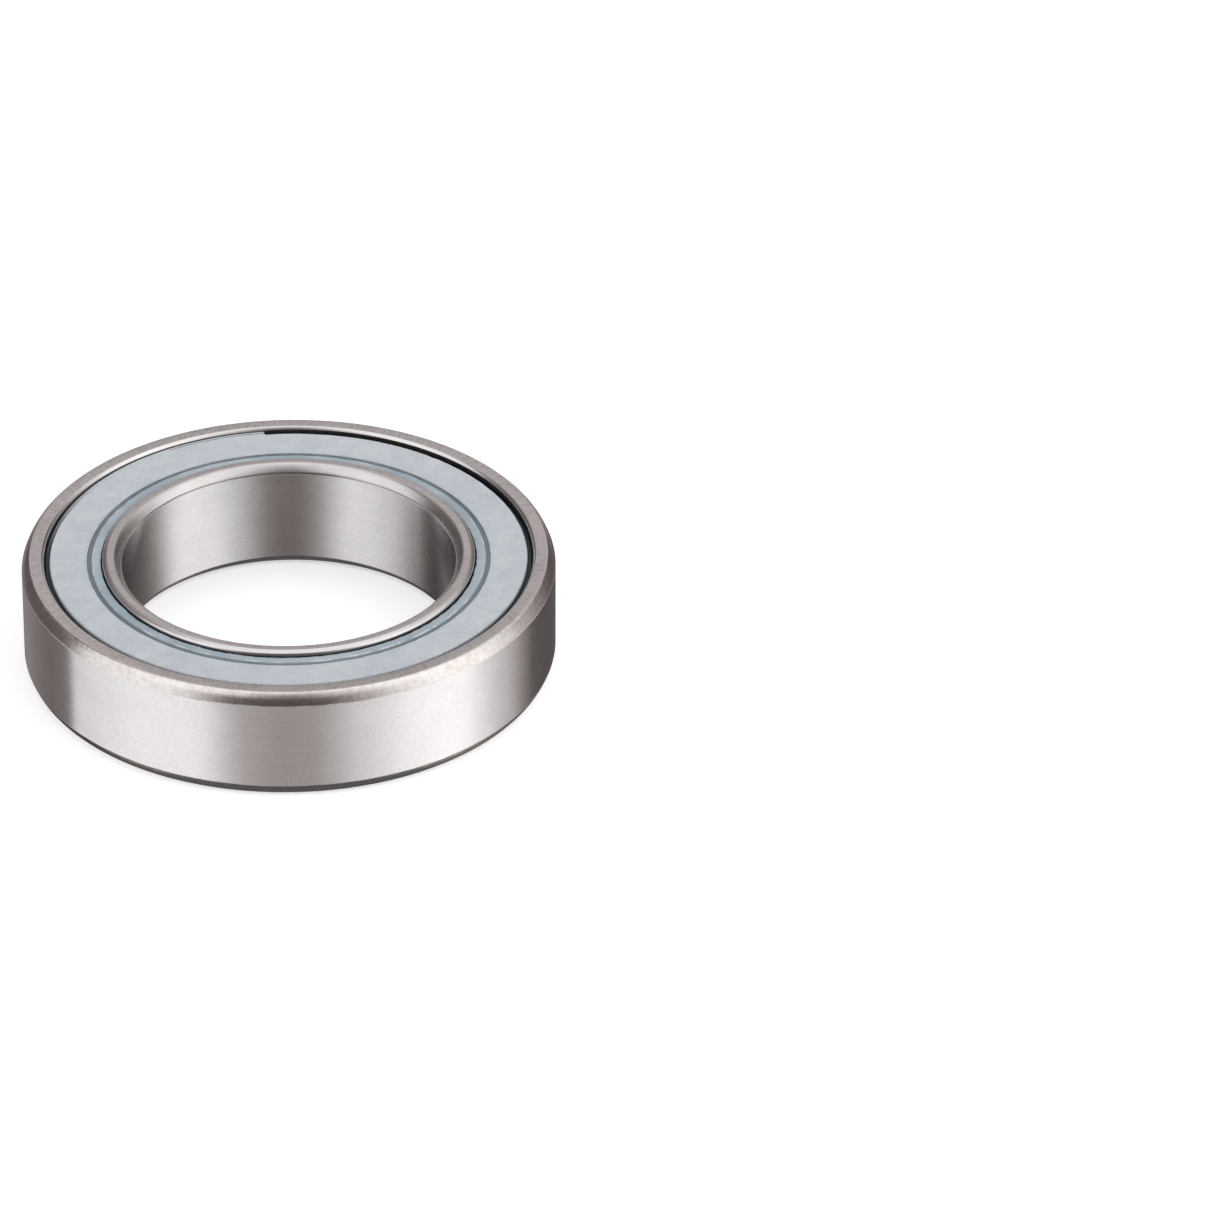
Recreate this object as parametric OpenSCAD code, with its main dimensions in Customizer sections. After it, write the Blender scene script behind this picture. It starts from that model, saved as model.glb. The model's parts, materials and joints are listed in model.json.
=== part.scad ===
// Sealed single-row angular contact ball bearing, 20 x 32 x 7 mm.
// The bearing axis is Z and the origin is at the centre of the bore, halfway between the faces.
// Every ring-shaped piece is a section, drawn as [radius, height] points, turned once round Z.

/* [Boundary dimensions] */
// Bore diameter of the inner ring
bore_d = 20; // [19.8:0.05:20.1]
// Outside diameter of the outer ring
outer_d = 32; // [31.9:0.05:32.4]
// Width across the ring faces
width = 7; // [6.9:0.05:8]

/* [Balls] */
// Ball diameter
ball_d = 3.5; // [3.4:0.02:3.52]
// Number of balls
ball_count = 16; // [8:1:17]
// Contact angle, in degrees from the radial plane
contact_angle = 25; // [15:1:30]
// Gap left between a ball and each raceway at the contact
race_gap = 0.02; // [0.01:0.005:0.03]

/* [Ring corners] */
// Radial size of the corner chamfers on the outside diameter
outer_chamfer_r = 0.49; // [0.3:0.01:0.6]
// Axial size of the corner chamfers on the outside diameter
outer_chamfer_z = 0.75; // [0.5:0.01:0.9]
// Radial size of the corner chamfers on the bore
bore_chamfer_r = 0.55; // [0.3:0.01:0.6]
// Axial size of the corner chamfers on the bore
bore_chamfer_z = 0.65; // [0.5:0.01:0.9]

/* [Seals] */
// Depth of the seal face below the ring faces
seal_recess = 0.24; // [0.2:0.01:0.3]
// Depth of the step from the seal face's inner edge down to the groove beside the lip
lip_step = 0.10; // [0.08:0.01:0.15]

/* [Cage] */
// Gap between a ball and its pocket
pocket_gap = 0.05; // [0.04:0.01:0.08]
// Width of the cage along the axis
cage_width = 4.4; // [4.3:0.05:4.5]

/* [Hidden] */
$fn = 128;
eps = 0.01;

// Faces and main radii
face_z = width / 2;
bore_r = bore_d / 2;
outer_r = outer_d / 2;
pitch_r = (bore_r + outer_r) / 2;
ball_r = ball_d / 2;
ball_step = 360 / ball_count;

// Raceways: each groove is a little wider than the ball, as a share of the ball's diameter
outer_race_r = 0.53 * ball_d;
inner_race_r = 0.52 * ball_d;
contact_dir = [cos(contact_angle), sin(contact_angle)];
outer_race_centre = [pitch_r, 0] - (outer_race_r - ball_r - race_gap) * contact_dir;
inner_race_centre = [pitch_r, 0] + (inner_race_r - ball_r - race_gap) * contact_dir;

// Outer ring: a high shoulder takes the thrust above the balls, and the one below is relieved,
// so that the ring slides over the balls when the bearing is put together
high_shoulder_r = pitch_r + 1.05;
low_shoulder_r = pitch_r + 1.60;
relief_mouth_r = low_shoulder_r + 0.06;
shelf_z = face_z - 1.08;

// Outer ring: the wall above each seal, and the groove that the seal snaps into
seal_wall_r = pitch_r + 1.66;
seal_wall_chamfer_r = 0.13;
seal_wall_chamfer_z = 0.17;
edge_break = 0.05;
groove_r = pitch_r + 2.05;
groove_lip_z = face_z - 0.50;
groove_top_z = face_z - 0.72;

// Inner ring: shoulders either side of the race, and the recess that each seal lip runs in
inner_shoulder_r = pitch_r - 1.00;
shoulder_edge = 0.10;
lip_wall_r = bore_r + 1.17;
lip_wall_chamfer_r = 0.20;
lip_wall_chamfer_z = 0.15;
lip_wall_end_z = face_z - 0.55;
lip_groove_r = bore_r + 0.98;
lip_groove_top_z = face_z - 0.75;
lip_groove_low_z = face_z - 1.00;
recess_floor_r = bore_r + 1.22;
recess_floor_z = face_z - 1.14;
recess_z = face_z - 1.20;

// Seal rubber: the face is slightly dished towards the lip
seal_face_z = face_z - seal_recess;
seal_dish = 0.08;
seal_inner_z = seal_face_z - seal_dish;
seal_face_r = [pitch_r - 0.90, pitch_r + 1.30];
seal_corner = 0.05;
bead_rim_r = [seal_face_r[1] + 0.05, seal_wall_r - 0.06];
bead_rim_z = face_z - 0.54;
bead_r = groove_r;
bead_z = [shelf_z, groove_top_z - 0.04];
lip_floor_z = seal_inner_z - lip_step;
lip_ridge_z = lip_floor_z + 0.12;
lip_edge_r = lip_wall_r + 0.08;
lip_edge_z = lip_floor_z + 0.10;
lip_tip_r = lip_groove_r + 0.04;
lip_tip_z = face_z - 0.84;
lip_root_z = face_z - 0.76;

// Steel ring moulded into each seal: a flat washer with its rim turned inwards
insert_r = [pitch_r - 0.80, pitch_r + 1.42];
insert_t = 0.25;
insert_top_z = face_z - 0.64;
insert_rim_z = face_z - 0.98;

// Cage: a moulded ring with a spherical pocket for each ball
cage_r = [pitch_r - 0.62, pitch_r + 0.72];
cage_edge = 0.15;
pocket_r = ball_r + pocket_gap;
web_slot_w = 0.60;
web_slot_depth = 0.16;

function ball_name(i) = str("ball_", i < 10 ? "0" : "", i);
BALLS = [for (i = [1 : ball_count]) ball_name(i)];

// The same points on the other side of the mid-plane, in the order that keeps an outline going round
function below(points) = [for (i = [len(points) - 1 : -1 : 0]) [points[i][0], -points[i][1]]];

// Turns a section once round the bearing axis
module turned(points) {
    rotate_extrude()
        polygon(points);
}

module raceway(centre, radius) {
    rotate_extrude()
        translate(centre)
            circle(r = radius);
}

// From the outside diameter over the top face and down to the seal shelf
outer_ring_top = [
    [outer_r, face_z - outer_chamfer_z],
    [outer_r - outer_chamfer_r, face_z],
    [seal_wall_r + seal_wall_chamfer_r, face_z],
    [seal_wall_r, face_z - seal_wall_chamfer_z],
    [seal_wall_r, groove_lip_z],
    [groove_r, groove_top_z],
    [groove_r, shelf_z]
];

module outer_ring() {
    color("gainsboro")
        difference() {
            turned(concat(
                outer_ring_top,
                [[high_shoulder_r + edge_break, shelf_z], [high_shoulder_r, shelf_z - edge_break]],
                [[high_shoulder_r, 0], [low_shoulder_r, 0]],
                [[low_shoulder_r, -ball_r / 2], [relief_mouth_r, -shelf_z]],
                below(outer_ring_top)));
            raceway(outer_race_centre, outer_race_r);
        }
}

// From the bore chamfer over the top face and down to the shoulder beside the race
inner_ring_top = [
    [bore_r, face_z - bore_chamfer_z],
    [bore_r + bore_chamfer_r, face_z],
    [lip_wall_r - lip_wall_chamfer_r, face_z],
    [lip_wall_r, face_z - lip_wall_chamfer_z],
    [lip_wall_r, lip_wall_end_z],
    [lip_groove_r, lip_groove_top_z],
    [lip_groove_r, lip_groove_low_z],
    [recess_floor_r, recess_floor_z],
    [inner_shoulder_r - shoulder_edge, recess_z],
    [inner_shoulder_r, recess_z - shoulder_edge]
];

module inner_ring() {
    color("silver")
        difference() {
            turned(concat(inner_ring_top, below(inner_ring_top)));
            raceway(inner_race_centre, inner_race_r);
        }
}

module ball(i) {
    color("whitesmoke")
        rotate([0, 0, (i - 1) * ball_step])
            translate([pitch_r, 0, 0])
                sphere(r = ball_r);
}

module cage() {
    half = cage_width / 2;
    color("burlywood")
        difference() {
            turned([
                [cage_r[0] + cage_edge, half],
                [cage_r[1] - cage_edge, half],
                [cage_r[1], half - cage_edge],
                [cage_r[1], -half + cage_edge],
                [cage_r[1] - cage_edge, -half],
                [cage_r[0] + cage_edge, -half],
                [cage_r[0], -half + cage_edge],
                [cage_r[0], half - cage_edge]
            ]);
            for (i = [0 : ball_count - 1]) {
                rotate([0, 0, i * ball_step])
                    translate([pitch_r, 0, 0])
                        sphere(r = pocket_r);
                rotate([0, 0, (i + 0.5) * ball_step])
                    translate([cage_r[1] - web_slot_depth, -web_slot_w / 2, -half - eps])
                        cube([1, web_slot_w, cage_width + 2 * eps]);
            }
        }
}

// Underside of the rubber where it is bonded to the steel insert, from the rim to the inner edge
insert_outline = [
    [insert_r[1], insert_rim_z],
    [insert_r[1], insert_top_z],
    [insert_r[0], insert_top_z],
    [insert_r[0], insert_top_z - insert_t]
];

module upper_seal_rubber() {
    color("lightsteelblue")
        turned(concat(
            [
                // Face, and the groove between it and the lip
                [seal_face_r[1] - seal_corner, seal_face_z],
                [seal_face_r[0], seal_inner_z],
                [seal_face_r[0] - 0.02, lip_floor_z],
                [seal_face_r[0] - 0.24, lip_floor_z],
                [seal_face_r[0] - 0.33, lip_ridge_z],
                // Lip: flat on top, reaching down into the inner ring's groove
                [lip_edge_r + 0.04, lip_edge_z],
                [lip_edge_r, lip_edge_z - 0.04],
                [lip_edge_r, lip_wall_end_z + 0.03],
                [lip_tip_r + 0.14, lip_tip_z + 0.20],
                [lip_tip_r, lip_tip_z + 0.06],
                [lip_tip_r, lip_tip_z],
                [lip_tip_r + 0.26, lip_tip_z - 0.04],
                [insert_r[0] - 0.45, lip_root_z + 0.06],
                [insert_r[0] - 0.25, insert_top_z - insert_t]
            ],
            // Bond line to the insert, then the bead that snaps into the outer ring
            [for (i = [3 : -1 : 0]) insert_outline[i]],
            [
                [insert_r[1], bead_z[0]],
                [bead_r - 0.10, bead_z[0]],
                [bead_r, bead_z[0] + 0.10],
                [bead_r, bead_z[1]],
                [bead_rim_r[1], bead_rim_z - 0.10],
                [bead_rim_r[1] - 0.06, bead_rim_z],
                [bead_rim_r[0], bead_rim_z],
                [seal_face_r[1], seal_face_z - seal_corner]
            ]));
}

module upper_seal_insert() {
    color("slategray")
        turned(concat(
            insert_outline,
            [
                [insert_r[1] - insert_t, insert_top_z - insert_t],
                [insert_r[1] - insert_t, insert_rim_z]
            ]));
}

// The lower seal is the same as the upper one, turned over
module lower_seal_rubber() {
    mirror([0, 0, 1])
        upper_seal_rubber();
}

module lower_seal_insert() {
    mirror([0, 0, 1])
        upper_seal_insert();
}

outer_ring();
inner_ring();
cage();
upper_seal_rubber();
upper_seal_insert();
lower_seal_rubber();
lower_seal_insert();
for (i = [1 : ball_count])
    ball(i);
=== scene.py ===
import json
import math
import bmesh
import bpy
import numpy as np
from mathutils import Matrix, Vector


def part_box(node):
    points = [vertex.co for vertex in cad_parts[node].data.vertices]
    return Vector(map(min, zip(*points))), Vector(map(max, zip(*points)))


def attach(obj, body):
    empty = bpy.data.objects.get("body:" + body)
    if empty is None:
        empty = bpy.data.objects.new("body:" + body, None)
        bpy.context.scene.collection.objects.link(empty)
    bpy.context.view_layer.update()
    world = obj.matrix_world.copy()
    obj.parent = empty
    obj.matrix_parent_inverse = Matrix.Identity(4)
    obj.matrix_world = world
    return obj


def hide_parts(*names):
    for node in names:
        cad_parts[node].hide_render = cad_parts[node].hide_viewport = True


# The looks of a sealed angular contact bearing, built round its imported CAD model. The bearing axis
# is Z, the origin is at the centre of the bore, and -Y faces the camera. Lengths in this script are
# in millimetres until they reach Blender, which gets metres.
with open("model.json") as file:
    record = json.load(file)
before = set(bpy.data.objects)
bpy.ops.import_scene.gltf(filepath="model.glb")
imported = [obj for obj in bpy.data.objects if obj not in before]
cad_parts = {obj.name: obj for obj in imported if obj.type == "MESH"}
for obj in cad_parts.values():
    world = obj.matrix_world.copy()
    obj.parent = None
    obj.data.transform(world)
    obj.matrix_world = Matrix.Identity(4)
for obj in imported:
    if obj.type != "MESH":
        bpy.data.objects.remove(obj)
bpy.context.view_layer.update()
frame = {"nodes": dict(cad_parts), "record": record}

MM = 0.001
FACE_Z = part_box("outer_ring")[1][2] / MM
OUTER_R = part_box("outer_ring")[1][0] / MM
MOUNTS = {mount["name"]: mount for mount in frame["record"]["mounts"]}
BORE_R = MOUNTS["bore"]["dims"]["r_mm"]
SEAL_FACE_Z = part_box("upper_seal_rubber")[1][2] / MM

# ---------------------------------------------------------------- camera

# Where the camera stands from the bearing's centre, the lens that gives the photograph's narrow
# view, how far down it looks and how much it leans
CAMERA_AT = (19.09, -448.61, 280.52)
LENS = 260.9
LOOK_DOWN = math.radians(32.04)
LEAN = math.radians(-0.29)


def make_camera():
    data = bpy.data.cameras.new("camera")
    data.sensor_width = 36
    data.lens = LENS
    camera = bpy.data.objects.new("camera", data)
    bpy.context.scene.collection.objects.link(camera)
    camera.location = Vector(CAMERA_AT) * MM
    tilt = Matrix.Rotation(math.pi / 2 - LOOK_DOWN, 3, "X")
    camera.rotation_euler = (tilt @ Matrix.Rotation(-LEAN, 3, "Z")).to_euler()
    bpy.context.scene.camera = camera


# ---------------------------------------------------------------- sections turned into rings

# Steps round the turn, round a corner and down a shaped slope
TURN = 900
ARC_STEPS = 5
SLOPE_STEPS = 20
# How far beyond a rounded corner the flat side gets one more point, which keeps its shading flat
SUPPORT = 0.006
# How near a cut point is to the mesh circle that it belongs to
ON_CIRCLE = 0.04
# How near a ring face a point counts as on it
AT_FACE = 0.01
# Smaller bends than this are left as they are, and a corner takes up at most this share of a side
LEAST_BEND = math.radians(16)
MOST_OF_SIDE = 0.4


def section(node):
    """A CAD ring's outline as an array of [radius, height], anticlockwise, read off its mesh."""
    mesh = bpy.data.objects[node].data
    points = np.array([vertex.co[:] for vertex in mesh.vertices]) / MM
    rings = np.stack([np.hypot(points[:, 0], points[:, 1]), points[:, 2]], axis=1)
    rings = np.unique(rings.round(4), axis=0)
    cut = bmesh.new()
    cut.from_mesh(mesh)
    everything = cut.verts[:] + cut.edges[:] + cut.faces[:]
    across = Vector((-0.21, 0.97, 0))
    bmesh.ops.bisect_plane(
        cut, geom=everything, plane_co=(0, 0, 0), plane_no=across, clear_inner=True, clear_outer=True)
    bmesh.ops.remove_doubles(cut, verts=cut.verts[:], dist=1e-7)
    side = [vertex for vertex in cut.verts if vertex.co.x > 0]
    here, before, loop = side[0], None, []
    while True:
        loop.append((math.hypot(here.co.x, here.co.y) / MM, here.co.z / MM))
        ways = [edge.other_vert(here) for edge in here.link_edges]
        ahead = [vertex for vertex in ways if vertex is not before]
        before, here = here, ahead[0]
        if here is side[0]:
            break
    cut.free()
    # The cut runs across facets: each point on a true circle of the mesh goes exactly onto it, and
    # points in the middle of a facet, on its diagonal, are left out
    outline = []
    for point in np.array(loop):
        away = np.abs(rings - point).sum(axis=1)
        if away.min() < ON_CIRCLE:
            outline.append(rings[np.argmin(away)])
    outline = tidy(np.array(outline))
    following = np.roll(outline, -1, axis=0)
    area = (outline[:, 0] * following[:, 1] - outline[:, 1] * following[:, 0]).sum()
    return outline if area > 0 else outline[::-1]


def tidy(outline):
    """Drops repeated points and points in the middle of a straight run."""
    keep = [point for i, point in enumerate(outline) if np.abs(point - outline[i - 1]).max() > 1e-3]
    outline = np.array(keep)
    before = outline - np.roll(outline, 1, axis=0)
    after = np.roll(outline, -1, axis=0) - outline
    turn = np.abs(before[:, 0] * after[:, 1] - before[:, 1] * after[:, 0])
    straight = turn < 0.002 * np.linalg.norm(before, axis=1) * np.linalg.norm(after, axis=1)
    return outline[~straight]


def shaped(outline, slopes):
    """The outline with its sloping edges at the ring faces made round.

    slopes lists (near, lead, corners, profile): where the slope meets the face, how far before that
    the rounding starts, how many corners on it runs, and the surface's lean as (share of the way,
    degrees), 90 on the face and 0 on a wall."""
    points = list(outline)
    for near, lead, corners, profile in slopes:
        for side in (1, -1):
            count = len(points)
            edge = np.array([near, side * FACE_Z])
            i = min(range(count), key=lambda k: np.linalg.norm(points[k] - edge))
            face, step = points[i], 1
            if abs(abs(points[(i + 1) % count][1]) - FACE_Z) < AT_FACE:
                step = -1
            run_to = i + step * corners
            foot, behind = points[run_to % count], points[(i - step) % count]
            start = face + (behind - face) / np.linalg.norm(behind - face) * lead
            shares, leans = zip(*profile)
            lean = np.radians(np.interp(np.linspace(0, 1, SLOPE_STEPS), shares, leans))
            run = np.cumsum(np.stack([np.sin(lean), np.cos(lean)], axis=1), axis=0)
            run = np.vstack([[0, 0], run])
            curve = start + run / run[-1] * (foot - start)
            replaced = {(i + step * k) % count for k in range(1, corners)}
            curve = list(curve[:-1])[::step]
            points = [
                point for k, kept in enumerate(points) if k not in replaced
                for point in (curve if k == i else [kept])]
    return np.array(points)


def softened(outline, corners):
    """The outline with each sharp corner rounded.

    corners lists (from this radius outwards, radius of the corner)."""
    points = []
    count = len(outline)
    for i, corner in enumerate(outline):
        back = outline[i - 1] - corner
        ahead = outline[(i + 1) % count] - corner
        back_length, ahead_length = np.linalg.norm(back), np.linalg.norm(ahead)
        back, ahead = back / back_length, ahead / ahead_length
        bend = math.pi - math.acos(np.clip(back @ ahead, -1, 1))
        if bend < LEAST_BEND:
            points.append(corner)
            continue
        corner_r = [rounding for start, rounding in corners if corner[0] >= start][-1]
        reach = corner_r * math.tan(bend / 2)
        reach = min(reach, MOST_OF_SIDE * back_length, MOST_OF_SIDE * ahead_length)
        radius = reach / math.tan(bend / 2)
        centre = corner + (back + ahead) / np.linalg.norm(back + ahead) * radius / math.cos(bend / 2)
        first = corner + back * reach
        spoke = first - centre
        swing = bend * np.sign(spoke[0] * -back[1] + spoke[1] * back[0])
        support = min(SUPPORT, 0.2 * reach)
        points.append(first + back * support)
        for step in np.linspace(0, swing, ARC_STEPS + 1):
            cosine, sine = math.cos(step), math.sin(step)
            turned = [spoke[0] * cosine - spoke[1] * sine, spoke[0] * sine + spoke[1] * cosine]
            points.append(centre + turned)
        points.append(corner + ahead * (reach + support))
    return np.array(points)


def spin(outline):
    """Grid of [radius, height] for every outline point at every step of the turn."""
    return np.repeat(outline[:, None, :], TURN, axis=1)


def ripple(low, high, seed):
    """A smooth seamless wobble round the turn, mostly within -1 to 1, of low to high waves."""
    chance = np.random.default_rng(seed)
    angle = np.linspace(0, 2 * math.pi, TURN, endpoint=False)
    waves = np.arange(low, high)
    phase = chance.uniform(0, 2 * math.pi, len(waves))
    return np.cos(np.outer(angle, waves) + phase).sum(axis=1) / math.sqrt(len(waves))


def nicks(count, width, seed):
    """Separate bumps, 0 to 1 high, at chance places. Each is about width wide at the seal's lip."""
    chance = np.random.default_rng(seed)
    angle = np.linspace(0, 2 * math.pi, TURN, endpoint=False)
    total = np.zeros(TURN)
    for place, height, spread in zip(
            chance.uniform(0, 2 * math.pi, count), chance.uniform(0.3, 1, count),
            chance.uniform(0.6, 1.6, count) * width / LIP_OUTER_R):
        away = (angle - place + math.pi) % (2 * math.pi) - math.pi
        total += height * np.exp(-(away / spread) ** 2)
    return total


def push(grid, at, reach, move, wobble):
    """Moves the part of a ring within reach of one outline point, by move times the wobble."""
    near = np.exp(-((grid[:, 0] - at) ** 2).sum(axis=1) / reach ** 2)
    grid += near[:, None, None] * wobble[None, :, None] * np.array(move)[None, None, :]


def ring_object(name, grid):
    """A closed ring mesh from a grid of [radius, height], which runs outline by turn."""
    count = grid.shape[0]
    angle = np.linspace(0, 2 * math.pi, TURN, endpoint=False)[None, :]
    places = np.stack(
        [grid[:, :, 0] * np.cos(angle), grid[:, :, 0] * np.sin(angle), grid[:, :, 1]], axis=2)
    rows = np.arange(count)[:, None]
    steps = np.arange(TURN)[None, :]
    next_row, next_step = (rows + 1) % count, (steps + 1) % TURN
    quads = np.stack([
        rows * TURN + steps, rows * TURN + next_step,
        next_row * TURN + next_step, next_row * TURN + steps], axis=2).reshape(-1, 4)
    mesh = bpy.data.meshes.new(name)
    mesh.vertices.add(count * TURN)
    mesh.vertices.foreach_set("co", (places * MM).ravel())
    mesh.loops.add(quads.size)
    mesh.loops.foreach_set("vertex_index", quads.ravel())
    mesh.polygons.add(len(quads))
    mesh.polygons.foreach_set("loop_start", np.arange(len(quads)) * 4)
    mesh.update(calc_edges=True)
    mesh.validate()
    mesh.polygons.foreach_set("use_smooth", np.ones(len(quads), dtype=bool))
    ring = bpy.data.objects.new(name, mesh)
    bpy.context.scene.collection.objects.link(ring)
    return ring


def paint_runs(ring, grid, materials, material_at):
    """Gives each band of faces the material that material_at(radius, height, slope) names."""
    for material in materials.values():
        ring.data.materials.append(material)
    order = list(materials)
    following = np.roll(grid, -1, axis=0)
    middle = (grid + following).mean(axis=1) / 2
    along = (following - grid).mean(axis=1)
    bands = []
    for (radius, height), (outward, upward) in zip(middle, along):
        # How far the surface leans: 0 is a wall, 90 is level
        slope = math.degrees(math.atan2(abs(outward), abs(upward)))
        bands.append(order.index(material_at(radius, abs(height), slope)))
    ring.data.polygons.foreach_set("material_index", np.repeat(bands, TURN).astype(np.int32))
    ring.data.update()


# ---------------------------------------------------------------- materials

class Graph:
    """A material's node tree, with short ways to add to it."""

    def __init__(self, name):
        self.material = bpy.data.materials.new(name)
        self.material.use_nodes = True
        self.tree = self.material.node_tree
        self.shader = self.tree.nodes["Principled BSDF"]

    def link(self, source, target):
        if isinstance(source, (int, float, tuple)):
            target.default_value = source
        else:
            self.tree.links.new(source, target)

    def node(self, kind, inputs=None, **settings):
        made = self.tree.nodes.new("ShaderNode" + kind)
        for key, value in settings.items():
            setattr(made, key, value)
        for key, value in (inputs or {}).items():
            self.link(value, made.inputs[key])
        return made

    def math(self, operation, first, second=0.0, third=0.0):
        made = self.node("Math", {0: first, 1: second, 2: third}, operation=operation)
        return made.outputs[0]

    def vector(self, operation, first, second=(0, 0, 0)):
        return self.node("VectorMath", {0: first, 1: second}, operation=operation).outputs[0]

    def noise(self, place, size=1.0, detail=2.0, roughness=0.5):
        """Noise whose lumps are about size units of place across."""
        inputs = {"Vector": place, "Scale": 1 / size, "Detail": detail, "Roughness": roughness}
        return self.node("TexNoise", inputs).outputs["Fac"]

    def spread(self, value, low, high, to_low=0.0, to_high=1.0):
        """Maps low..high to to_low..to_high, held at the ends."""
        inputs = {0: value, 1: low, 2: high, 3: to_low, 4: to_high}
        return self.node("MapRange", inputs).outputs[0]

    def mix(self, factor, first, second, blend="MIX"):
        made = self.node("Mix", data_type="RGBA", blend_type=blend)
        self.link(factor, made.inputs[0])
        self.link(first, made.inputs[6])
        self.link(second, made.inputs[7])
        return made.outputs[2]

    def bump(self, height, depth, under=None):
        """Bump of a 0..1 height that is depth millimetres deep."""
        made = self.node("Bump", {"Height": height, "Strength": 1.0, "Distance": depth * MM})
        if under is not None:
            self.link(under, made.inputs["Normal"])
        return made.outputs[0]

    def shaded(self, tone, shade):
        """A colour made lighter or darker."""
        grey = self.node("CombineXYZ", {0: shade, 1: shade, 2: shade}).outputs[0]
        return self.vector("MULTIPLY", tone, grey)

    def away(self, value, middle):
        """How far a value is from a middle one."""
        return self.math("ABSOLUTE", self.math("SUBTRACT", value, middle))

    def radius(self, here):
        """How far a place is from the bearing's axis."""
        flat = self.vector("MULTIPLY", here, (1, 1, 0))
        return self.node("VectorMath", {0: flat}, operation="LENGTH").outputs["Value"]

    def brushed_round(self):
        """Lets the reflections stretch across lines that run round the axis."""
        tangent = self.node("Tangent", direction_type="RADIAL", axis="Z").outputs[0]
        self.link(tangent, self.shader.inputs["Tangent"])

    def place(self):
        """The place on the piece, in millimetres."""
        self.here = self.vector("MULTIPLY", self.node("TexCoord").outputs["Object"], (1 / MM,) * 3)
        return self.here

    def polar(self, round_count, along_count, along="height"):
        """A place where a unit is 1/round_count of a radian round, and 1/along_count mm along."""
        here = self.place()
        split = self.node("SeparateXYZ", {0: here})
        flat = self.vector("MULTIPLY", here, (1, 1, 0))
        round_it = self.vector("MULTIPLY", self.vector("NORMALIZE", flat), (round_count,) * 3)
        distance = split.outputs["Z"] if along == "height" else self.radius(here)
        lift = self.node("CombineXYZ", {"Z": self.math("MULTIPLY", distance, along_count)})
        return self.vector("ADD", round_it, lift.outputs[0])

    def finish(self, colour, roughness, metallic=0.0, normal=None, **constants):
        self.link(colour, self.shader.inputs["Base Color"])
        self.link(roughness, self.shader.inputs["Roughness"])
        self.shader.inputs["Metallic"].default_value = metallic
        if normal is not None:
            self.link(normal, self.shader.inputs["Normal"])
        for key, value in constants.items():
            self.shader.inputs[key.replace("_", " ")].default_value = value
        return self.material


def colour(red, green, blue):
    return (red, green, blue, 1.0)


def ground_steel(name, tone, blur, stretch, dust=0.0, tip=0.0):
    """Steel ground on a wheel: very fine lines round the axis, and a soft mottle in the reflections.

    The lines can lie so that they tip the reflections down, by twice tip degrees. dust is the share
    of the chance places that have a speck."""
    graph = Graph(name)
    lines = graph.noise(graph.polar(5.0, 38.0), detail=3.0, roughness=0.65)
    bands = graph.noise(graph.polar(2.0, 2.4), detail=2.0)
    mottle = graph.noise(graph.place(), size=0.13, detail=3.0, roughness=0.6)
    cloud = graph.noise(graph.place(), size=1.6, detail=3.0)
    patchy = graph.spread(cloud, 0.3, 0.7, -0.03, 0.02)
    shade = graph.math("ADD", graph.spread(mottle, 0.3, 0.7, 0.86, 1.0), patchy)
    shade = graph.math("MULTIPLY", shade, graph.spread(lines, 0.3, 0.7, 0.97, 1.0))
    body = graph.shaded(tone, shade)
    if dust:
        specks = graph.node("TexVoronoi", {"Vector": graph.place(), "Scale": 0.9, "Randomness": 1.0})
        spot = graph.spread(specks.outputs["Distance"], 0.04, 0.09, 1.0, 0.0)
        chance = graph.node("SeparateColor", {0: specks.outputs["Color"]}).outputs[0]
        few = graph.spread(chance, dust, dust, 1.0, 0.0)
        body = graph.mix(graph.math("MULTIPLY", spot, few), body, colour(0.8, 0.78, 0.75))
    banded = graph.spread(bands, 0.3, 0.7, blur - 0.02, blur + 0.02)
    rough = graph.math("ADD", banded, graph.spread(mottle, 0.3, 0.7, -0.015, 0.015))
    grain = graph.bump(lines, 0.0004)
    grain = graph.bump(mottle, 0.0006, under=grain)
    if tip:
        height = graph.node("SeparateXYZ", {0: graph.here}).outputs["Z"]
        grain = graph.bump(height, math.tan(math.radians(tip)), under=grain)
    graph.brushed_round()
    return graph.finish(
        body, rough, metallic=1.0, normal=grain, Anisotropic=stretch, Anisotropic_Rotation=0.25)


def faced_steel():
    """The flat ring faces: short marks of the face grinding, which run across the narrow band."""
    graph = Graph("faced_steel")
    marks = graph.noise(graph.polar(130.0, 1.2, along="radius"), detail=3.0, roughness=0.75)
    strokes = graph.noise(graph.polar(95.0, 2.5, along="radius"), detail=2.0, roughness=0.7)
    cloud = graph.noise(graph.place(), size=2.2, detail=2.0)
    dark_strokes = graph.spread(strokes, 0.34, 0.5, -0.20, 0.0)
    shade = graph.math("ADD", graph.spread(marks, 0.3, 0.7, 0.82, 1.11), dark_strokes)
    shade = graph.math("ADD", shade, graph.spread(cloud, 0.3, 0.7, -0.04, 0.03))
    body = graph.shaded((0.605, 0.575, 0.570), shade)
    rough = graph.spread(marks, 0.25, 0.75, 0.26, 0.42)
    grain = graph.bump(marks, 0.005)
    graph.brushed_round()
    return graph.finish(body, rough, metallic=1.0, normal=grain, Anisotropic=0.5)


# What the tan skin of heat treatment does to the colour of the steel
TAN_SKIN = (0.86, 0.80, 0.765)


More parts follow.
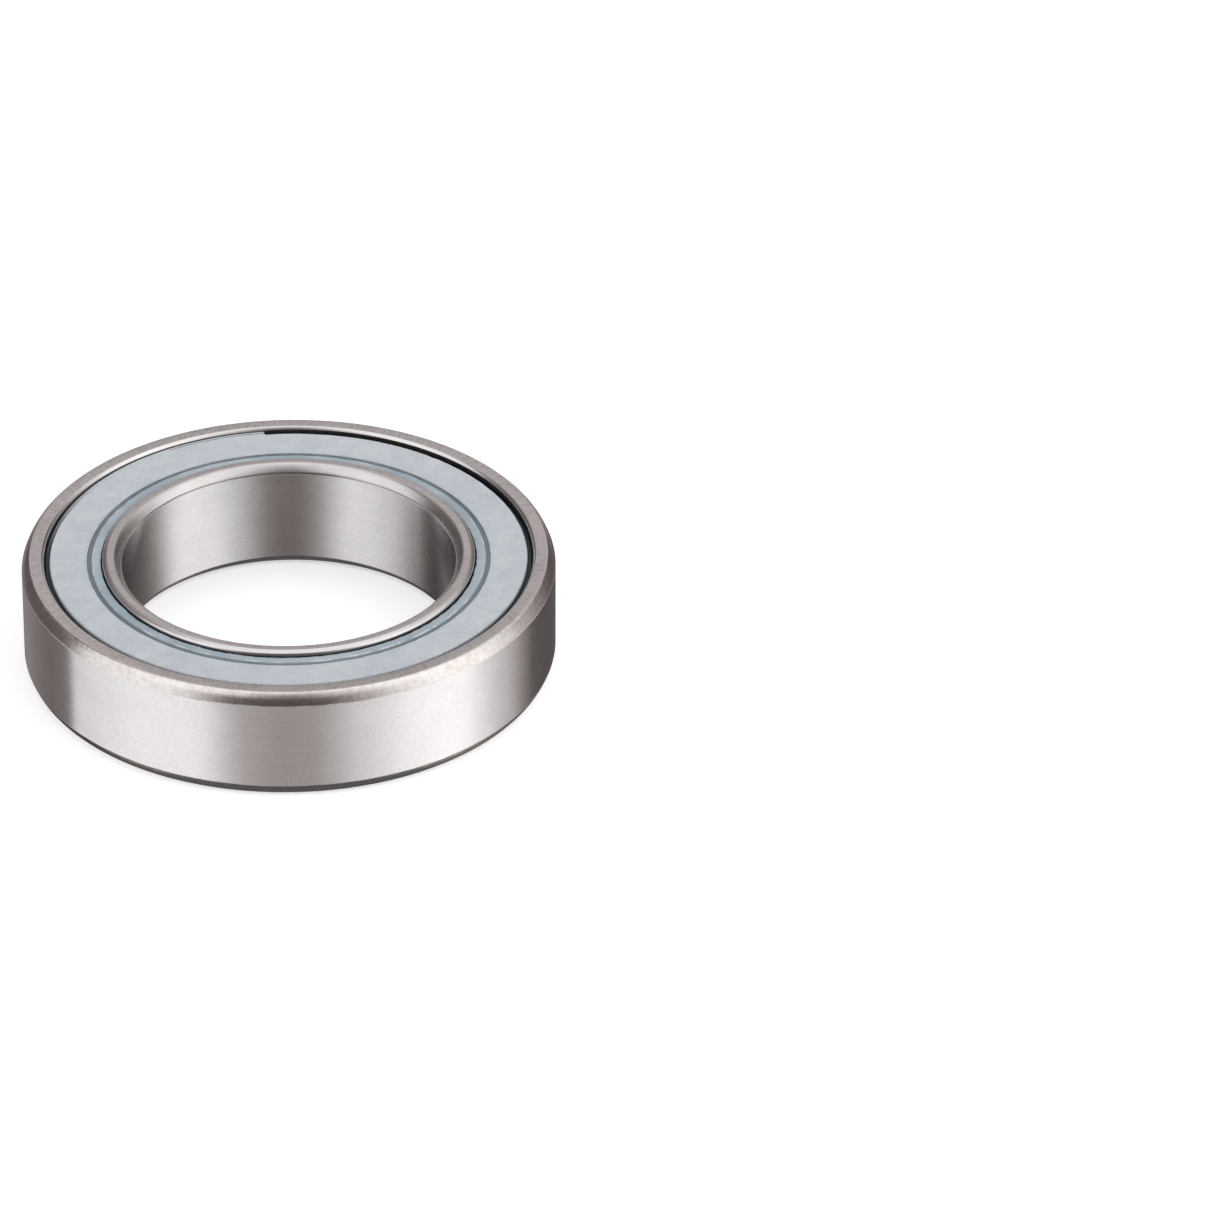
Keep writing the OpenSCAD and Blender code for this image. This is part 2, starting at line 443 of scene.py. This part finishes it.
def turned_steel(name, tone, relief, blur, blotch, lines):
    """Turned steel: fine tool lines round the axis and a pitted tan skin left by heat treatment.

    relief scales the bumps, blotch is how much of the skin shows, and lines how dark the lines are."""
    graph = Graph(name)
    lumps = graph.noise(graph.polar(48.0, 4.5), detail=4.0, roughness=0.7)
    drift = graph.noise(graph.polar(9.0, 2.0), detail=2.0)
    grit = graph.noise(graph.place(), size=0.06, detail=2.0, roughness=0.6)
    tool = graph.noise(graph.polar(4.0, 30.0), detail=3.0, roughness=0.6)
    drifting = graph.spread(drift, 0.35, 0.65, -0.25, 0.25)
    tint = graph.math("ADD", graph.spread(lumps, 0.40, 0.62, 0.0, blotch), drifting)
    tint = graph.spread(tint, 0.0, 1.0)
    tan = [part * share for part, share in zip(tone, TAN_SKIN)]
    body = graph.mix(tint, colour(*tone), colour(*tan))
    body = graph.mix(graph.spread(tool, 0.35, 0.65, 0.0, lines), body, colour(0.38, 0.36, 0.35))
    rough = graph.math("ADD", graph.spread(grit, 0.3, 0.7, -0.05, 0.05), blur)
    grain = graph.bump(lumps, 0.008 * relief)
    grain = graph.bump(grit, 0.0022 * relief, under=grain)
    grain = graph.bump(tool, 0.0015 * relief, under=grain)
    return graph.finish(body, rough, metallic=1.0, normal=grain)


def worn_highlit_edge():
    """The rubbed line where the ground outside meets the chamfer, painted lighter: partly rubbed wear, partly
    a painted highlight along the edge.
    """
    graph = Graph("worn_highlit_edge")
    rub = graph.noise(graph.polar(40.0, 10.0), detail=3.0, roughness=0.7)
    # Lighter than the ground steel: partly rubbed wear, partly a painted highlight
    body = graph.mix(graph.spread(rub, 0.40, 0.62), colour(0.72, 0.70, 0.69), colour(0.84, 0.82, 0.80))
    rough = graph.spread(rub, 0.3, 0.7, 0.42, 0.5)
    return graph.finish(body, rough, metallic=1.0, normal=graph.bump(rub, 0.001))


def recess_painted_shade():
    """The ring walls beside the seals: dull steel, painted dark as painted shade for the shade in these
    recesses.
    """
    graph = Graph("recess_painted_shade")
    stain = graph.noise(graph.place(), size=0.3, detail=2.0)
    # Painted shade: the dark colour stands in for the shade that falls in these recesses
    body = graph.mix(stain, colour(0.17, 0.155, 0.15), colour(0.28, 0.26, 0.25))
    rough = graph.spread(stain, 0.3, 0.7, 0.3, 0.42)
    return graph.finish(body, rough, metallic=1.0, normal=graph.bump(stain, 0.001))


def race_steel():
    """The raceways and the other walls inside the rings, honed and oiled."""
    graph = Graph("race_steel")
    lines = graph.noise(graph.polar(8.0, 30.0), detail=2.0)
    body = graph.mix(lines, colour(0.52, 0.50, 0.48), colour(0.60, 0.58, 0.56))
    rough = graph.spread(lines, 0.3, 0.7, 0.12, 0.2)
    return graph.finish(body, rough, metallic=1.0, normal=graph.bump(lines, 0.0005))


# The seal from the inner ring outwards: a lip with a ridge, a groove, and the face. The colour and
# the shine each change from lip to face between two radii
LIP_OUTER_R = 12
RIDGE_R = 11.775
GROOVE_R = 11.97
FACE_STARTS_R = (12.07, 12.11)
SHINE_CHANGES_R = (12.0, 12.12)
# The rubber is painted near-black below the first height, as painted shade down in the gaps beside the rings,
# and has its full colour above the second
FULL_COLOUR_Z = (3.01, 3.19)


def moulded_rubber():
    """Nitrile rubber as it comes from the mould: a fine grain and a pale uneven bloom on the face, painted
    shade in the groove, a smoother lip whose ridge is painted pale in places, partly as rubbing and
    partly as a painted highlight, and painted near-black shade down beside the rings."""
    graph = Graph("moulded_rubber")
    here = graph.place()
    height = graph.math("ABSOLUTE", graph.node("SeparateXYZ", {0: here}).outputs["Z"])
    radius = graph.radius(here)
    grain = graph.noise(here, size=0.11, detail=3.0, roughness=0.7)
    patch = graph.noise(here, size=0.9, detail=4.0, roughness=0.65)
    cloud = graph.noise(here, size=4.0, detail=2.0)
    cloudy = graph.spread(cloud, 0.35, 0.65, 0.0, 0.25)
    bloom = graph.math("ADD", graph.spread(patch, 0.36, 0.66, 0.0, 0.75), cloudy)
    face = graph.mix(bloom, colour(0.57, 0.63, 0.68), colour(0.70, 0.74, 0.785))
    lip = graph.mix(graph.spread(cloud, 0.42, 0.60), colour(0.35, 0.45, 0.52), colour(0.49, 0.58, 0.64))
    body = graph.mix(graph.spread(radius, *FACE_STARTS_R), lip, face)
    # Painted shade: the groove between the face and the lip is painted darker, for the shade in its hollow
    groove_shade = graph.spread(graph.away(radius, GROOVE_R), 0.09, 0.15, 1.0, 0.0)
    body = graph.mix(graph.math("MULTIPLY", groove_shade, 0.10), body, colour(0.21, 0.27, 0.31))
    body = graph.mix(graph.spread(grain, 0.3, 0.7, 0.0, 0.3), body, colour(0.27, 0.31, 0.345))
    # The ridge of the lip is painted pale in places: partly rubbed wear, partly a painted highlight along the
    # ridge
    ridge = graph.spread(graph.away(radius, RIDGE_R), 0.015, 0.045, 1.0, 0.0)
    worn = graph.noise(graph.polar(9.0, 0.0), detail=4.0, roughness=0.7)
    rubbed_and_highlit = graph.math("MULTIPLY", ridge, graph.spread(worn, 0.46, 0.60, 0.05, 1.0))
    body = graph.mix(rubbed_and_highlit, body, colour(0.78, 0.83, 0.86))
    # Painted shade: near-black low down, where the seal sits in the gaps beside the rings
    body = graph.mix(graph.spread(height, *FULL_COLOUR_Z), colour(0.028, 0.036, 0.042), body)
    shine = graph.spread(radius, *SHINE_CHANGES_R, 0.34, 0.60)
    rough = graph.math("ADD", graph.spread(patch, 0.3, 0.7, -0.05, 0.06), shine)
    skin = graph.bump(grain, 0.003)
    skin = graph.bump(patch, 0.006, under=skin)
    return graph.finish(body, rough, normal=skin, Specular_IOR_Level=0.5)


def polished_steel():
    """Lapped bearing balls, with the faint lapping scratches of the real ones."""
    graph = Graph("ball_steel")
    scratch = graph.noise(graph.place(), size=0.03, detail=2.0)
    body = graph.mix(scratch, colour(0.60, 0.59, 0.58), colour(0.66, 0.65, 0.64))
    rough = graph.spread(scratch, 0.3, 0.7, 0.04, 0.08)
    return graph.finish(body, rough, metallic=1.0, normal=graph.bump(scratch, 0.0001))


def cage_plastic():
    """Glass-filled polyamide, natural colour, with the fibres just showing."""
    graph = Graph("cage_polyamide")
    fibre = graph.noise(graph.polar(60.0, 2.0), detail=3.0, roughness=0.6)
    body = graph.mix(fibre, colour(0.62, 0.54, 0.38), colour(0.74, 0.66, 0.50))
    rough = graph.spread(fibre, 0.3, 0.7, 0.42, 0.55)
    return graph.finish(body, rough, normal=graph.bump(fibre, 0.004))


def pressed_steel():
    """The seals' stiffening washers: phosphated sheet, grey and slightly crystalline."""
    graph = Graph("insert_steel")
    crystal = graph.node("TexVoronoi", {"Vector": graph.place(), "Scale": 18.0}).outputs["Distance"]
    body = graph.mix(crystal, colour(0.24, 0.24, 0.25), colour(0.34, 0.34, 0.35))
    rough = graph.spread(crystal, 0.0, 0.6, 0.38, 0.52)
    return graph.finish(body, rough, metallic=0.9, normal=graph.bump(crystal, 0.001))


# ---------------------------------------------------------------- pieces

# How the sloping edges at the ring faces round over: (share of the way down, lean in degrees)
OUTER_CHAMFER = ((0, 88), (0.06, 80), (0.10, 58), (0.15, 44), (0.24, 39), (0.34, 34), (0.44, 28), (0.56, 22),
                 (0.75, 19), (1, 16))
BORE_CHAMFER = ((0, 86), (0.08, 78), (0.12, 60), (0.16, 51), (0.27, 43), (0.40, 39), (0.54, 36), (0.66, 32),
                (0.76, 25), (0.86, 15), (0.94, 6), (1, 2))
RECESS_BEVEL = ((0, 80), (0.12, 50), (1, 24))
LIP_BEVEL = ((0, 86), (0.04, 66), (0.34, 50), (0.42, 22), (0.56, 15), (0.60, 0), (1, -4))

# Where the rings' edges are and their finishes change, as radii and depths below the ring faces
OUTER_CHAMFER_R = OUTER_R - 0.49
OUTER_CHAMFER_Z = FACE_Z - 0.75
OUTER_RECESS_R = 14.79
BORE_CHAMFER_R = BORE_R + 0.55
LIP_RECESS_R = 10.97
LIP_RECESS_FLOOR_R = 11.3
FACE_DEPTH = 0.004
OUTER_BEVEL_DEPTH = 0.19
OUTER_RECESS_DEPTH = 0.7
LIP_BEVEL_DEPTH = 0.22
LIP_RECESS_DEPTH = 1.0
# How far below the ground outside it ends, and how far the outer chamfer rolls over onto the face
GROUND_DEPTH = 0.0005
WORN_HIGHLIT_EDGE_DEPTH = 0.02
ROLLED_WIDTH = 0.06
# The bore's finish reaches this far onto the foot of its chamfer, where that leans less than this
BORE_EDGE_WIDTH = 0.04
BORE_EDGE_LEAN = 30


def make_ring(name, node, body, slopes, corners, material_at, steels, finishing=None):
    """A ring in place of its CAD node, with rounded slopes and corners and its finishes."""
    outline = softened(shaped(section(node), slopes), corners)
    grid = spin(outline)
    if finishing:
        finishing(grid, outline)
    ring = ring_object(name, grid)
    paint_runs(ring, grid, steels, material_at)
    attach(ring, body)
    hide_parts(node)


def nearest(outline, radius, height):
    """The outline's point nearest to a place."""
    return outline[np.argmin(np.hypot(outline[:, 0] - radius, outline[:, 1] - height))]


def make_outer_ring(steels):
    def wander(grid, outline):
        """The turned chamfer meets the ground outside and the face along lines that wander a little."""
        for side in (1, -1):
            foot = nearest(outline, OUTER_R, side * OUTER_CHAMFER_Z)
            head = nearest(outline, OUTER_CHAMFER_R, side * FACE_Z)
            push(grid, foot, 0.10, (0, 0.013 * side), ripple(5, 60, 11 + side))
            push(grid, head, 0.06, (0.008, 0), ripple(5, 90, 21 + side))

    def material_at(radius, height, slope):
        if radius > OUTER_R - GROUND_DEPTH:
            return "ground"
        # The edge band, partly rubbed wear and partly a painted highlight
        if radius > OUTER_R - WORN_HIGHLIT_EDGE_DEPTH:
            return "edge"
        if radius > OUTER_CHAMFER_R - ROLLED_WIDTH:
            return "chamfer"
        if height > FACE_Z - FACE_DEPTH:
            return "face"
        if height > FACE_Z - OUTER_BEVEL_DEPTH:
            return "bevel"
        return "recess" if height > FACE_Z - OUTER_RECESS_DEPTH else "race"

    slopes = ((OUTER_CHAMFER_R, 0.09, 1, OUTER_CHAMFER), (OUTER_RECESS_R, 0.04, 1, RECESS_BEVEL))
    corners = ((0, 0.025), (OUTER_R - 0.01, 0.22))
    make_ring("outer_ring_finished", "outer_ring", "outer", slopes, corners, material_at, steels, wander)


def make_inner_ring(steels):
    def material_at(radius, height, slope):
        if radius < BORE_R + BORE_EDGE_WIDTH and slope < BORE_EDGE_LEAN:
            return "ground"
        if radius < BORE_CHAMFER_R + 0.02:
            return "chamfer"
        if height > FACE_Z - FACE_DEPTH:
            return "face"
        if radius >= LIP_RECESS_FLOOR_R or height <= FACE_Z - LIP_RECESS_DEPTH:
            return "race"
        return "bevel" if height > FACE_Z - LIP_BEVEL_DEPTH else "recess"

    slopes = ((BORE_CHAMFER_R, 0.05, 1, BORE_CHAMFER), (LIP_RECESS_R, 0.12, 2, LIP_BEVEL))
    corners = ((0, 0.05),)
    make_ring("inner_ring_finished", "inner_ring", "inner", slopes, corners, material_at, steels)


def turn_window(start, end, fade):
    """1 between two angles of the turn in degrees, easing to 0 over a fade before and after."""
    angle = np.linspace(0, 360, TURN, endpoint=False)
    past = (angle - start + 180) % 360 - 180
    span = end - start
    rise = np.clip(past / fade[0] + 1, 0, 1)
    fall = np.clip((span - past) / fade[1] + 1, 0, 1)
    eased = (rise * rise * (3 - 2 * rise)) * (fall * fall * (3 - 2 * fall))
    return eased * (np.abs(past - span / 2) < 180)


# Edges of the seal's section as (radius, height)
LIP_EDGE = (11.28, 3.17)
RIDGE = (11.77, 3.20)
GROOVE_EDGE = (12.10, 3.18)
FACE_EDGE = (14.27, 3.25)
# The rim lies between these radii, and reaches this deep under the face
RIM_R = (14.22, 14.64)
RIM_DEPTH = 0.45
# Its side next to the face ends at the first radius. Its outer edge starts at the second, and stays
# lower by the drop
RIM_INNER_R = 14.45
RIM_EDGE_R = 14.57
RIM_EDGE_DROP = 0.06
# The part of the turn where the rim stands high, and the turn it takes to rise and to sink, in degrees
RAISED_FROM, RAISED_TO, RAISED_FADE = 98.0, 122, (0.6, 80)
RAISED_OUTWARDS = 0.03


def make_seal(side, rubber):
    """One seal's rubber, with the uneven flash that moulding leaves along its lip and rim."""
    node = side + "_seal_rubber"
    up, seed = (1, 30) if side == "upper" else (-1, 60)
    outline = softened(section(node), ((0, 0.05), (LIP_OUTER_R, 0.04)))
    grid = spin(outline)
    lip_edge, ridge, groove_edge, face_edge = (
        nearest(outline, radius, up * height) for radius, height in (LIP_EDGE, RIDGE, GROOVE_EDGE, FACE_EDGE))
    push(grid, lip_edge, 0.06, (-0.010, 0.004 * up), ripple(12, 110, seed))
    push(grid, lip_edge, 0.06, (-0.04, 0.02 * up), nicks(18, 0.12, seed + 1))
    push(grid, ridge, 0.05, (0.006, 0.012 * up), ripple(8, 70, seed + 2))
    push(grid, groove_edge, 0.05, (0.012, 0), ripple(10, 90, seed + 3))
    push(grid, face_edge, 0.06, (0.010, 0), ripple(10, 120, seed + 4))
    # Round part of the turn the mould has left the rim standing as high as the face
    raised = turn_window(RAISED_FROM, RAISED_TO, RAISED_FADE)
    radius, height = grid[:, 0, 0], up * grid[:, 0, 1]
    rim = (radius > RIM_R[0]) & (radius < RIM_R[1]) & (height > SEAL_FACE_Z - RIM_DEPTH)
    lift = up * SEAL_FACE_Z - grid[rim, :, 1]
    lift[grid[rim, :, 0] > RIM_EDGE_R] -= up * RIM_EDGE_DROP
    # The side next to the face sinks back first, which leaves a fine groove along the face
    share = np.where(grid[rim, :, 0] < RIM_INNER_R, raised ** 1.8, raised)
    grid[rim, :, 1] += lift * share
    grid[rim, :, 0] += RAISED_OUTWARDS * raised
    ring = ring_object(side + "_seal_finished", grid)
    ring.data.materials.append(rubber)
    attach(ring, "outer")
    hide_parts(node)


def dress_cad_nodes():
    """The pieces inside the seals keep their CAD shape and get their finish."""
    washer, ball = pressed_steel(), polished_steel()
    finishes = {"cage": cage_plastic(), "upper_seal_insert": washer, "lower_seal_insert": washer}
    finishes.update({node: ball for node in frame["nodes"] if node.startswith("ball_")})
    for node, material in finishes.items():
        piece = bpy.data.objects[node]
        if not piece.material_slots:
            piece.data.materials.append(material)
        for held in piece.material_slots:
            held.material = material


# ---------------------------------------------------------------- studio

# Brightness round the studio as (azimuth, brightness): 0 is towards the camera, + to the right.
# Two tall softboxes stand left and right; the camera side between them is dim at the horizon and
# brighter on the table, and the ceiling is pale.
# Low down, from under the bearing, which the bore reflects
IN_BORE = [
    (-180, 0.14), (-155, 0.06), (-128, 0.08), (-116, 0.20), (-102, 0.48), (-92, 0.86), (-82, 1.16),
    (-62, 1.52), (-46, 1.56), (-38, 1.36), (-30, 1.0), (-22, 0.63), (-12, 0.38), (-3, 0.29), (8, 0.30),
    (18, 0.39), (27, 0.62), (38, 1.0), (48, 1.32), (58, 1.60), (78, 1.76), (88, 1.74), (98, 1.58),
    (108, 0.96), (118, 0.44), (128, 0.26), (140, 0.18), (158, 0.14), (180, 0.14),
]
# Low over the table, which the outside reflects
AT_TABLE = [
    (-180, 0.25), (-152, 0.27), (-125, 0.20), (-111, 0.25), (-109.2, 0.31), (-107.8, 0.46),
    (-105.8, 0.92), (-103, 1.06), (-96, 1.13), (-88, 1.20), (-68, 1.36), (-44, 1.34), (-37, 1.26),
    (-32, 1.10), (-26, 0.84), (-18, 0.60), (-2, 0.50), (12, 0.53), (22, 0.75), (30, 0.97), (46, 1.26),
    (54, 1.42), (64, 1.55), (74, 1.62), (84, 1.56), (92, 1.22), (104, 0.86), (110, 0.76), (122, 0.36),
    (132, 0.14), (150, 0.11), (180, 0.11),
]
# Level with the bearing
AT_HORIZON = [
    (-180, 0.45), (-165, 0.40), (-150, 0.12), (-97, 0.14), (-93.5, 0.45), (-91, 1.02), (-60, 1.26),
    (-42, 1.12), (-32, 0.55), (-22, 0.13), (-12, 0.10), (12, 0.10), (20, 0.16), (30, 0.45), (38, 0.72),
    (50, 1.18), (62, 1.42), (86, 1.42), (96, 1.14), (104, 0.80), (110, 0.58), (118, 0.42), (125, 0.30),
    (138, 0.12), (150, 0.10), (165, 0.35), (180, 0.45),
]
# Up the walls of the room, which the upper chamfers reflect
AT_ROOM = [
    (-180, 0.78), (-150, 0.45), (-125, 0.30), (-105, 0.24), (-99, 1.10), (-60, 1.35), (-42, 1.25),
    (-32, 1.15), (-22, 0.92), (-10, 0.36), (0, 0.26), (8, 0.28), (18, 0.48), (28, 0.80), (40, 1.05),
    (60, 1.45), (88, 1.50), (100, 1.25), (111, 1.10), (125, 1.0), (145, 0.62), (165, 0.68), (180, 0.78),
]
# Straight down in the shade of the bearing, and straight up
UNDERNEATH = (0.12, 0.12, 0.12, 1.0)
CEILING = (1.15, 1.15, 1.15, 1.0)
# The bands from the bottom up as (blends in from, to, brightness), in degrees over the horizon
BANDS = ((-66, -52, IN_BORE), (-39, -34.5, AT_TABLE), (-26, -11, AT_HORIZON), (14, 46, AT_ROOM))
CEILING_FROM = (46, 88)
# Dim parts of the studio are a warm brown-grey, bright ones are neutral
DIM_TINT = (1.11, 0.945, 0.935)
BACKDROP = (1.0, 1.0, 1.0, 1.0)
# The floor glows a little, a painted glow that keeps the bearing's shadow on it faint
FLOOR_GLOW = 0.40
FLOOR_R = 3
FLOOR_CORNERS = 96


def brightness_ramp(world, turn, stops):
    """The studio's light round one band of the turn, as a colour."""
    ramp = world.nodes.new("ShaderNodeValToRGB")
    elements = ramp.color_ramp.elements
    while len(elements) > 1:
        elements.remove(elements[-1])
    for i, (azimuth, level) in enumerate(stops):
        place = azimuth / 360 + 0.5
        element = elements[0] if i == 0 else elements.new(place)
        element.position = place
        dim = max(0.0, 1.0 - level)
        element.color = [level * (1 + (tint - 1) * dim) for tint in DIM_TINT] + [1.0]
    world.links.new(turn, ramp.inputs[0])
    return ramp.outputs[0]


def make_world():
    world = bpy.data.worlds.new("studio")
    bpy.context.scene.world = world
    world.use_nodes = True
    tree = world.node_tree
    background = tree.nodes["Background"]

    def calculate(operation, first, second=0.0):
        made = tree.nodes.new("ShaderNodeMath")
        made.operation = operation
        for value, target in ((first, made.inputs[0]), (second, made.inputs[1])):
            if isinstance(value, (int, float)):
                target.default_value = value
            else:
                tree.links.new(value, target)
        return made.outputs[0]

    def climb(height, low, high):
        """0 below one angle over the horizon in degrees, easing to 1 above another."""
        made = tree.nodes.new("ShaderNodeMapRange")
        made.interpolation_type = "SMOOTHSTEP"
        made.inputs[1].default_value = math.sin(math.radians(low))
        made.inputs[2].default_value = math.sin(math.radians(high))
        tree.links.new(height, made.inputs[0])
        return made.outputs[0]

    def blend(factor, first, second):
        made = tree.nodes.new("ShaderNodeMix")
        made.data_type = "RGBA"
        tree.links.new(factor, made.inputs[0])
        for value, target in ((first, made.inputs[6]), (second, made.inputs[7])):
            if isinstance(value, tuple):
                target.default_value = value
            else:
                tree.links.new(value, target)
        return made.outputs[2]

    way = tree.nodes.new("ShaderNodeSeparateXYZ")
    tree.links.new(tree.nodes.new("ShaderNodeTexCoord").outputs["Generated"], way.inputs[0])
    azimuth = calculate("ARCTAN2", way.outputs["X"], calculate("MULTIPLY", way.outputs["Y"], -1.0))
    turn = calculate("ADD", calculate("DIVIDE", azimuth, 2 * math.pi), 0.5)
    height = way.outputs["Z"]
    light = UNDERNEATH
    for low, high, stops in BANDS:
        light = blend(climb(height, low, high), light, brightness_ramp(tree, turn, stops))
    light = blend(climb(height, *CEILING_FROM), light, CEILING)
    seen = tree.nodes.new("ShaderNodeLightPath").outputs["Is Camera Ray"]
    light = blend(seen, light, BACKDROP)
    tree.links.new(light, background.inputs["Color"])


def make_floor():
    """A plain pale floor under the bearing, with a painted glow. The steel reflects the studio, not the
    floor.
    """
    angles = np.linspace(0, 2 * math.pi, FLOOR_CORNERS, endpoint=False)
    rim = [(math.cos(angle) * FLOOR_R, math.sin(angle) * FLOOR_R, -FACE_Z * MM) for angle in angles]
    mesh = bpy.data.meshes.new("floor")
    mesh.from_pydata(rim, [], [list(range(len(rim)))])
    floor = bpy.data.objects.new("floor", mesh)
    bpy.context.scene.collection.objects.link(floor)
    graph = Graph("floor_paper")
    tooth = graph.noise(graph.place(), size=0.6, detail=2.0)
    paper = graph.mix(tooth, colour(0.955, 0.955, 0.955), colour(0.965, 0.965, 0.965))
    floor.data.materials.append(graph.finish(
        paper, 0.9, Specular_IOR_Level=0.0, Emission_Color=colour(1, 1, 1), Emission_Strength=FLOOR_GLOW))
    floor.visible_glossy = False


# ---------------------------------------------------------------- the scene

make_camera()
make_world()
make_floor()

shared = {
    "face": faced_steel(),
    "bevel": turned_steel(
        "bevel_steel", (0.70, 0.68, 0.675), relief=0.10, blur=0.22, blotch=0.0, lines=0.10),
    "recess": recess_painted_shade(),
    "race": race_steel(),
}
make_outer_ring({
    "ground": ground_steel("ground_outside", (0.665, 0.647, 0.64), blur=0.14, stretch=0.75),
    "chamfer": turned_steel(
        "turned_chamfer", (0.76, 0.735, 0.72), relief=1.0, blur=0.18, blotch=1.0, lines=0.15),
    "edge": worn_highlit_edge(),
    **shared,
})
make_inner_ring({
    # Painted shade: the bore's steel has a darker tone than the outside, for the shaded floor that the bore
    # reflects
    "ground": ground_steel("ground_bore", (0.50, 0.485, 0.478), blur=0.18, stretch=0.75, dust=0.35, tip=7),
    "chamfer": turned_steel(
        "bore_chamfer", (0.62, 0.60, 0.597), relief=0.12, blur=0.24, blotch=0.1, lines=0.15),
    **shared,
})
rubber = moulded_rubber()
for side in ("upper", "lower"):
    make_seal(side, rubber)
dress_cad_nodes()

bpy.context.scene.view_settings.view_transform = "Standard"
